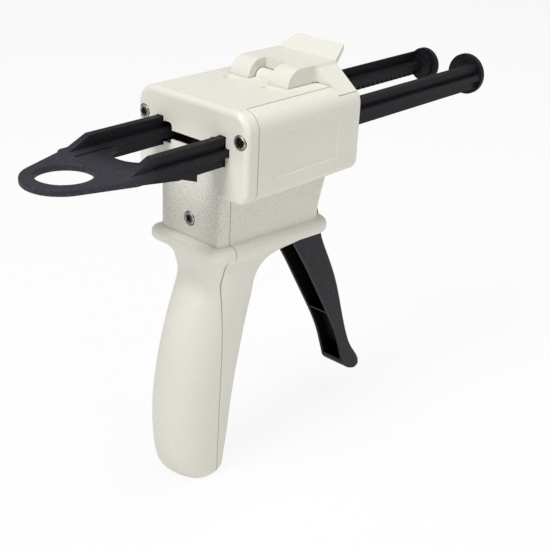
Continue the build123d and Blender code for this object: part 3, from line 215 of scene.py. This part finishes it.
class Shader:
    """A new node material with one Principled surface, and short ways to add nodes to it."""

    def __init__(self, name, **surface):
        self.material = bpy.data.materials.new(name)
        self.material.use_nodes = True
        self.tree = self.material.node_tree
        self.principled = self.tree.nodes["Principled BSDF"]
        for label, value in surface.items():
            self.principled.inputs[label.replace("_", " ")].default_value = value
        self.coordinates = self.node("ShaderNodeTexCoord").outputs["Object"]

    def node(self, kind, settings=None, sockets=None):
        """A node of one kind, its settings made first and then its sockets set or linked."""
        made = self.tree.nodes.new(kind)
        for key, value in (settings or {}).items():
            setattr(made, key, value)
        for key, value in (sockets or {}).items():
            self.put(made.inputs[key], value)
        return made

    def put(self, socket, value):
        """Links a socket or sets its constant."""
        if isinstance(value, Sock):
            value = value.socket
        if isinstance(value, bpy.types.NodeSocket):
            self.tree.links.new(value, socket)
        else:
            socket.default_value = value

    def noise(self, scale, detail=2.0, roughness=0.5, stretch=(1, 1, 1)):
        """Noise between 0 and 1, scale being its features to the metre."""
        place = self.node("ShaderNodeMapping", None, {"Vector": self.coordinates, "Scale": stretch})
        made = self.node("ShaderNodeTexNoise", None, {
            "Vector": place.outputs[0], "Scale": scale, "Detail": detail, "Roughness": roughness,
        })
        return Sock(self, made.outputs["Fac"])

    def grain(self, sizes):
        """The fine grain that all the moulded pieces share."""
        return self.noise(1 / sizes.grain, roughness=0.6)

    def axis(self, index):
        """One of the object's coordinates, in metres."""
        split = self.node("ShaderNodeSeparateXYZ", None, {"Vector": self.coordinates})
        return Sock(self, split.outputs[index])

    def ramp(self, value, none, full):
        """A smooth step from 0 where a value is at none to 1 where it is at full."""
        sockets = {"Value": value, "From Min": none, "From Max": full}
        node = self.node("ShaderNodeMapRange", {"interpolation_type": "SMOOTHSTEP"}, sockets)
        return Sock(self, node.outputs[0])

    def line(self, value, place, half):
        """A soft stripe where a value is within half of a place."""
        return self.ramp(abs(value - place), half, SEAM_CORE * half)

    def mix(self, factor, first, second):
        """One colour over another."""
        sockets = {MIX_FACTOR: factor, MIX_FIRST: first, MIX_SECOND: second}
        made = self.node("ShaderNodeMix", {"data_type": "RGBA"}, sockets)
        return Sock(self, made.outputs[MIX_RESULT])

    def shades(self, factor, colour, first, second):
        """One shade of a colour over another."""
        return self.mix(factor, rgba(colour, first), rgba(colour, second))

    def bump(self, height, distance, strength):
        """A bumped normal from a height between 0 and 1."""
        sockets = {"Height": height, "Distance": distance, "Strength": strength}
        return Sock(self, self.node("ShaderNodeBump", None, sockets).outputs[0])

    def surface(self, **links):
        """Links varying inputs of the surface."""
        for label, value in links.items():
            self.put(self.principled.inputs[label.replace("_", " ")], value)
        return self.material


def rgba(colour, shade):
    """A shade of a colour, with its full alpha."""
    return (*[channel * shade for channel in colour], 1.0)


class FinishSizes(bpy.types.PropertyGroup):
    """Colours and grain of the moulded and metal surfaces."""

    cream: FloatVectorProperty(
        name="Cream", description="Colour of the housing's plastic",
        subtype="COLOR", size=3, default=(0.785, 0.768, 0.684), min=0.0, max=1.0,
    )
    black: FloatVectorProperty(
        name="Black", description="Colour of the plunger's and the discs' plastic",
        subtype="COLOR", size=3, default=(0.0090, 0.0085, 0.0115), min=0.0, max=1.0,
    )
    graphite: FloatVectorProperty(
        name="Graphite", description="Colour of the trigger's plastic",
        subtype="COLOR", size=3, default=(0.0165, 0.0160, 0.0205), min=0.0, max=1.0,
    )
    steel: FloatVectorProperty(
        name="Steel", description="Colour of the screws, pins and springs",
        subtype="COLOR", size=3, default=(0.62, 0.61, 0.60), min=0.0, max=1.0,
    )
    grain: FloatProperty(
        name="Grain", description="Size of the moulded grain",
        default=0.7 * MM, unit="LENGTH", precision=5,
    )
    grain_depth: FloatProperty(
        name="Grain depth", description="Depth of the moulded grain",
        default=0.09 * MM, unit="LENGTH", precision=5,
    )
    seam: FloatProperty(
        name="Seam", description="Half the width of the shadow in the shells' seams",
        default=0.28 * MM, unit="LENGTH", precision=5,
    )


class StageSizes(bpy.types.PropertyGroup):
    """Camera and light."""

    camera_place: FloatVectorProperty(
        name="Camera", description="Where the camera stands",
        subtype="XYZ", unit="LENGTH", size=3, default=(-0.3304, -0.2819, 0.1297), precision=4,
    )
    yaw: FloatProperty(
        name="Yaw", description="The camera's turn from the sideways axis to the forward one",
        subtype="ANGLE", default=radians(48.67),
    )
    pitch: FloatProperty(
        name="Pitch", description="How far the camera looks down",
        subtype="ANGLE", default=radians(24.97),
    )
    roll: FloatProperty(
        name="Roll", description="The camera's roll", subtype="ANGLE", default=radians(2.69),
    )
    focal: FloatProperty(
        name="Focal length", description="Focal length in widths of the picture",
        default=1134.4 / PICTURE_WIDTH,
    )
    top_power: FloatProperty(
        name="Top lamp", description="Power of the lamp above the rear",
        default=3.9, unit="POWER",
    )
    key_power: FloatProperty(
        name="Key lamp", description="Power of the lamp behind the rear",
        default=3.85, unit="POWER",
    )
    front_power: FloatProperty(
        name="Front lamp", description="Power of the lamp above the front",
        default=2.0, unit="POWER",
    )
    side_power: FloatProperty(
        name="Side lamp", description="Power of the lamp on the near side",
        default=1.35, unit="POWER",
    )
    shoulder_power: FloatProperty(
        name="Shoulder lamp", description="Power of the lamp above the near side",
        default=1.25, unit="POWER",
    )
    sky: FloatProperty(name="Sky", description="Strength of the even light", default=0.3)


def deselect():
    """Leaves nothing selected."""
    bpy.ops.object.select_all(action="DESELECT")


def dress(nodes, material):
    """Gives CAD nodes one material."""
    for name in nodes:
        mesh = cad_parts[name].data
        mesh.materials.clear()
        mesh.materials.append(material)


def seam_shadow(shader, half, x, out, z):
    """Shadow in the rear cover's seams, round the block, down the neck and along the top plate."""
    above = shader.ramp(z, PLATE_LEVEL - SEAM_END, PLATE_LEVEL)
    on_plate = above * shader.ramp(out, PLATE_EDGE, PLATE_EDGE - SEAM_END)
    on_block = shader.ramp(z, BLOCK_FOOT - SEAM_END, BLOCK_FOOT) * (1.0 - on_plate)
    on_neck = shader.ramp(z, BLOCK_FOOT, BLOCK_FOOT - SEAM_END)
    ahead = shader.ramp(x, BLOCK_SEAM - SEAM_END, BLOCK_SEAM)
    along = ahead * shader.ramp(x, PLATE_FRONT, PLATE_FRONT - SEAM_END)
    block = shader.line(x, BLOCK_SEAM, half) * on_block
    neck = shader.line(x, NECK_SEAM, half) * on_neck
    plate = shader.line(out, PLATE_EDGE, half) * above * along
    depth = SEAM_DEPTHS
    return (depth["block"] * block + depth["neck"] * neck + depth["plate"] * plate).clamp()


def neck_grain_and_shade_zone(shader, x, out, z):
    """The neck, where the shells' grain is coarsest and painted shade under the plunger's arms
    darkens it, most of all behind.
    """
    height = shader.ramp(z, *GRAIN_AND_SHADE_TOP) * shader.ramp(z, *GRAIN_AND_SHADE_FOOT)
    round_neck = GRAIN_AND_SHADE_ON_SIDES + (1 - GRAIN_AND_SHADE_ON_SIDES) * shader.ramp(x, *GRAIN_AND_SHADE_REAR)
    return height * round_neck * shader.ramp(out, *GRAIN_AND_SHADE_SIDE)


def cream_plastic(sizes):
    """Cream moulded plastic: fine leathery grain, slight mottling, shadow kept in the seams, and
    painted shade under the plunger's arms as darker pits and specks on the neck.
    """
    shader = Shader("cream_plastic")
    x, y, z = (shader.axis(index) for index in range(3))
    out = abs(y)
    fine = shader.grain(sizes)
    coarse = shader.noise(COARSE_TO_GRAIN / sizes.grain, detail=1.0)
    clouds = shader.ramp(shader.noise(CREAM_CLOUDS, detail=3.0), *CLOUD_STEP)
    pits = shader.ramp(fine, *PIT_STEP)
    specks = shader.noise(SPECKS_TO_GRAIN / sizes.grain, detail=1.0, roughness=0.4)
    specks = shader.ramp(specks, *SPECK_STEP)
    neck = neck_grain_and_shade_zone(shader, x, out, z)
    rim = shader.ramp(x, *RIM_REAR) * shader.ramp(z, *RIM_TOP)

    shade, rough = CREAM_SHADES, CREAM_ROUGHNESS
    colour = shader.shades(clouds, sizes.cream, shade["cloud"], shade["clear"])
    # the neck's extra dark pits and specks are partly grain and partly painted shade under the
    # plunger's arms
    marks = pits * (PITS_ALL_OVER + PITS_FOR_NECK_SHADE_AND_GRAIN * neck)
    colour = shader.mix(marks, colour, rgba(sizes.cream, shade["pit"]))
    marks = specks * (SPECKS_ALL_OVER + SPECKS_FOR_NECK_SHADE_AND_GRAIN * neck)
    colour = shader.mix(marks, colour, rgba(sizes.cream, shade["speck"]))
    seams = seam_shadow(shader, sizes.seam, x, out, z)
    colour = shader.mix(seams, colour, rgba(sizes.cream, shade["seam"]))
    roughness = rough["base"] + rough["coarse"] * coarse + rough["pits"] * pits + rough["rim"] * rim
    relief = fine * FINE_SHARE + coarse * (1 - FINE_SHARE)
    return shader.surface(
        Base_Color=colour, Roughness=roughness,
        Normal=shader.bump(relief, sizes.grain_depth, strength=0.8),
    )


def black_plastic(sizes):
    """Black moulded plastic with pale flecks, greyer at the ring: partly wear where a finger rubs
    it, partly painted sheen.
    """
    shader = Shader("black_plastic", Specular_IOR_Level=0.2)
    fine = shader.grain(sizes)
    clouds = shader.noise(BLACK_CLOUDS, detail=3.0)
    streaks = shader.noise(BLACK_STREAKS, stretch=ROD_STREAK)
    rubbed_and_sheen = shader.ramp(shader.axis(0), *RUBBED_AND_SHEEN)

    shade, rough = BLACK_SHADES, BLACK_ROUGHNESS
    base_black = shader.shades(
        shader.ramp(clouds, *CLOUD_STEP), sizes.black, shade["cloud"], shade["clear"])
    # greyer towards the ring: partly wear, partly painted sheen
    ground = shader.mix(rubbed_and_sheen, base_black, rgba(sizes.black, shade["rubbed_and_sheen"]))
    flecks = shader.shades(rubbed_and_sheen, sizes.black, shade["fleck"], shade["rubbed fleck"])
    return shader.surface(
        Base_Color=shader.mix(shader.ramp(fine, *BLACK_FLECK_STEP), ground, flecks),
        Roughness=rough["base"] + rough["clouds"] * clouds + rough["streaks"] * streaks,
        Normal=shader.bump(fine, sizes.grain_depth, strength=0.8),
    )


def trigger_plastic(sizes):
    """Graphite plastic: sparkling grain outside, smooth inside the trigger's channel, with painted
    shade darkening the channel.
    """
    shader = Shader("trigger_plastic", Specular_IOR_Level=0.2)
    fine = shader.grain(sizes)
    clouds = shader.noise(BLACK_CLOUDS, detail=3.0)
    outside = shader.ramp(abs(shader.axis(1)), *TRIGGER_SKIN)

    shade, rough = GRAPHITE_SHADES, BLACK_ROUGHNESS
    ground = shader.shades(
        shader.ramp(clouds, *CLOUD_STEP), sizes.graphite, shade["cloud"], shade["clear"])
    grained = shader.mix(
        shader.ramp(fine, *TRIGGER_FLECK_STEP), ground, rgba(sizes.graphite, shade["fleck"]))
    return shader.surface(
        # darker inside the channel: painted shade in the recess
        Base_Color=shader.mix(outside, rgba(sizes.graphite, shade["channel"]), grained),
        Roughness=rough["base"] + rough["clouds"] * clouds,
        Normal=shader.bump(fine * outside, sizes.grain_depth, strength=0.9),
    )


def screw_steel(sizes):
    """Plated screw heads with painted shade in the socket, a painted highlight on the shoulder, and
    pitted between.
    """
    shader = Shader("screw_steel", Metallic=1.0)
    out, up = abs(shader.axis(1)), shader.axis(2)
    upper, lower = (
        ((out - middle[0]) ** 2 + (up - middle[1]) ** 2) ** 0.5
        for middle in (UPPER_SCREWS, LOWER_SCREW)
    )
    radius = upper.least(lower)
    marks = shader.noise(SCREW_MARKS, roughness=0.6)
    patches = shader.ramp(marks, *SCREW_PATCH_STEP)

    shade, rough = SCREW_SHADES, SCREW_ROUGHNESS
    face = shader.shades(patches, sizes.steel, shade["pit"], shade["face"])
    shoulder = shader.shades(patches, sizes.steel, shade["shoulder pit"], shade["shoulder"])
    # the brighter shoulder is a painted highlight, and the dark socket is painted shade in the
    # recess
    colour = shader.mix(shader.ramp(radius, *SCREW_SHOULDER_HIGHLIGHT), face, shoulder)
    socket_shade = shader.ramp(radius, *SCREW_SOCKET_SHADE)
    return shader.surface(
        Base_Color=shader.mix(socket_shade, colour, rgba(sizes.steel, shade["socket"])),
        Roughness=rough["base"] + rough["patches"] * patches,
        Normal=shader.bump(marks, SCREW_RELIEF, strength=0.7),
    )


def steel(sizes, name, shade, roughness, stretch):
    """Metal with fine turning or drawing marks and uneven polish."""
    shader = Shader(name, Metallic=1.0)
    marks = shader.noise(STEEL_MARKS, roughness=0.6, stretch=stretch)
    clouds = shader.noise(STEEL_CLOUDS)
    rough = STEEL_ROUGHNESS
    polish = rough["base"] * roughness + rough["marks"] * roughness * marks
    return shader.surface(
        Base_Color=shader.shades(clouds, sizes.steel, STEEL_CLOUD_SHADE * shade, shade),
        Roughness=polish + rough["clouds"] * clouds,
        Normal=shader.bump(marks, FINE_RELIEF, strength=0.4),
    )


def white_nylon():
    """White plastic of the plain bushes."""
    shader = Shader("white_nylon")
    clouds = shader.noise(NYLON_CLOUDS)
    rough = NYLON_ROUGHNESS
    return shader.surface(
        Base_Color=shader.mix(clouds, NYLON_DARK, NYLON_PALE),
        Roughness=rough["base"] + rough["clouds"] * clouds,
        Normal=shader.bump(clouds, FINE_RELIEF, strength=0.3),
    )


def pale_floor():
    """Pale floor that shows white to the camera and keeps the object's shadow."""
    shader = Shader("pale_floor", Base_Color=FLOOR_COLOUR, Roughness=0.9, Specular_IOR_Level=0.1)
    paths = shader.node("ShaderNodeLightPath")
    glow = shader.node("ShaderNodeEmission", None, {"Color": WHITE, "Strength": 1.0})
    seen = Sock(shader, paths.outputs["Is Camera Ray"])
    reflected = Sock(shader, paths.outputs["Is Glossy Ray"])
    white = (WHITE_TO_CAMERA * seen + WHITE_TO_REFLECTIONS * reflected).clamp()
    blend = shader.node("ShaderNodeMixShader", None, {
        0: white, 1: shader.principled.outputs[0], 2: glow.outputs[0],
    })
    shader.put(shader.tree.nodes["Material Output"].inputs["Surface"], blend.outputs[0])
    return shader.material


class DISPENSER_OT_shells(bpy.types.Operator):
    """Finishes the housing, the rear cover and the latch in cream plastic."""

    bl_idname = "dispenser.shells"
    bl_label = "Cream shells"

    def execute(self, context):
        dress(SHELL_NODES, cream_plastic(context.scene.dispenser_finish))
        return {"FINISHED"}


class DISPENSER_OT_mouldings(bpy.types.Operator):
    """Finishes the plunger and the discs in black plastic and the trigger in graphite."""

    bl_idname = "dispenser.mouldings"
    bl_label = "Black mouldings"

    def execute(self, context):
        sizes = context.scene.dispenser_finish
        dress(BLACK_NODES, black_plastic(sizes))
        dress(TRIGGER_NODES, trigger_plastic(sizes))
        return {"FINISHED"}


class DISPENSER_OT_metalwork(bpy.types.Operator):
    """Finishes the screws, pins, pawl, springs and clips, and the nylon bushes between them."""

    bl_idname = "dispenser.metalwork"
    bl_label = "Metalwork"

    def execute(self, context):
        sizes = context.scene.dispenser_finish
        dress(SCREW_NODES, screw_steel(sizes))
        dress(STEEL_NODES, steel(sizes, "ground_steel", shade=0.9, roughness=0.35, stretch=TURNED))
        dress(SPRING_NODES, steel(sizes, "spring_steel", shade=0.8, roughness=0.30, stretch=DRAWN))
        dress(BUSH_NODES, white_nylon())
        return {"FINISHED"}


def add_floor(middle, foot):
    """A wide floor just under the grip."""
    deselect()
    place = (middle.x, middle.y, foot - FLOOR_GAP)
    bpy.ops.mesh.primitive_plane_add(size=FLOOR_SIZE, location=place)
    floor = bpy.context.object
    floor.name = "floor"
    floor.data.materials.append(pale_floor())


def add_camera(sizes):
    """The camera, turned by its yaw and pitch and then rolled about its line of sight."""
    yaw, pitch, roll = sizes.yaw, sizes.pitch, sizes.roll
    sight = Vector((sin(yaw) * cos(pitch), cos(yaw) * cos(pitch), -sin(pitch)))
    level = Vector((cos(yaw), -sin(yaw), 0))
    upward = level.cross(sight)
    right = cos(roll) * level + sin(roll) * upward
    up = -sin(roll) * level + cos(roll) * upward
    deselect()
    bpy.ops.object.camera_add()
    camera = bpy.context.object
    turn = Matrix((right, up, -sight)).transposed().to_4x4()
    camera.matrix_world = Matrix.Translation(sizes.camera_place) @ turn
    camera.data.sensor_width = SENSOR_WIDTH
    camera.data.lens = sizes.focal * SENSOR_WIDTH
    camera.data.clip_start = NEAREST_SEEN
    bpy.context.scene.camera = camera


def add_lamp(name, place, target, size, power):
    """A square area lamp aimed at a point."""
    deselect()
    bpy.ops.object.light_add(type="AREA", location=place)
    lamp = bpy.context.object
    lamp.name = name
    lamp.data.shape = "SQUARE"
    lamp.data.size = size
    lamp.data.energy = power
    lamp.rotation_euler = (target - Vector(place)).to_track_quat("-Z", "Y").to_euler()


def add_sky(strength):
    """Even white light from all round."""
    world = bpy.data.worlds.new("even_light")
    world.use_nodes = True
    backdrop = world.node_tree.nodes["Background"]
    backdrop.inputs["Color"].default_value = WHITE
    backdrop.inputs["Strength"].default_value = strength
    bpy.context.scene.world = world


class DISPENSER_OT_stage(bpy.types.Operator):
    """Sets the floor, the camera at the photograph's angle and soft studio light."""

    bl_idname = "dispenser.stage"
    bl_label = "Stage"

    def execute(self, context):
        sizes = context.scene.dispenser_stage
        low, high = CAD_BOUNDS
        middle = (Vector(low) + Vector(high)) / 2
        add_floor(middle, low[2])
        add_camera(sizes)
        for name, (place, size) in LAMPS.items():
            add_lamp(name, place, middle, size, getattr(sizes, name + "_power"))
        add_sky(sizes.sky)
        context.scene.view_settings.view_transform = "Standard"
        return {"FINISHED"}


OPERATORS = (
    DISPENSER_OT_shells, DISPENSER_OT_mouldings, DISPENSER_OT_metalwork, DISPENSER_OT_stage,
)


class DISPENSER_PT_panel(bpy.types.Panel):
    """Lists the gun's finishes and its stage."""

    bl_label = "Dispensing gun"
    bl_idname = "DISPENSER_PT_panel"
    bl_space_type = "VIEW_3D"
    bl_region_type = "UI"
    bl_category = "Dispenser"

    def draw(self, context):
        for group in (context.scene.dispenser_finish, context.scene.dispenser_stage):
            box = self.layout.box()
            for name in group.__annotations__:
                box.prop(group, name)
        for operator in OPERATORS:
            self.layout.operator(operator.bl_idname)


CLASSES = (FinishSizes, StageSizes, *OPERATORS, DISPENSER_PT_panel)


def register():
    """Registers the classes and hangs the sizes on the scene."""
    for item in CLASSES:
        bpy.utils.register_class(item)
    bpy.types.Scene.dispenser_finish = PointerProperty(type=FinishSizes)
    bpy.types.Scene.dispenser_stage = PointerProperty(type=StageSizes)


def unregister():
    """Takes the sizes and the classes away again."""
    del bpy.types.Scene.dispenser_finish
    del bpy.types.Scene.dispenser_stage
    for item in reversed(CLASSES):
        bpy.utils.unregister_class(item)


def main():
    """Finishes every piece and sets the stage."""
    register()
    bpy.ops.dispenser.shells()
    bpy.ops.dispenser.mouldings()
    bpy.ops.dispenser.metalwork()
    bpy.ops.dispenser.stage()


if __name__ == "__main__":
    main()
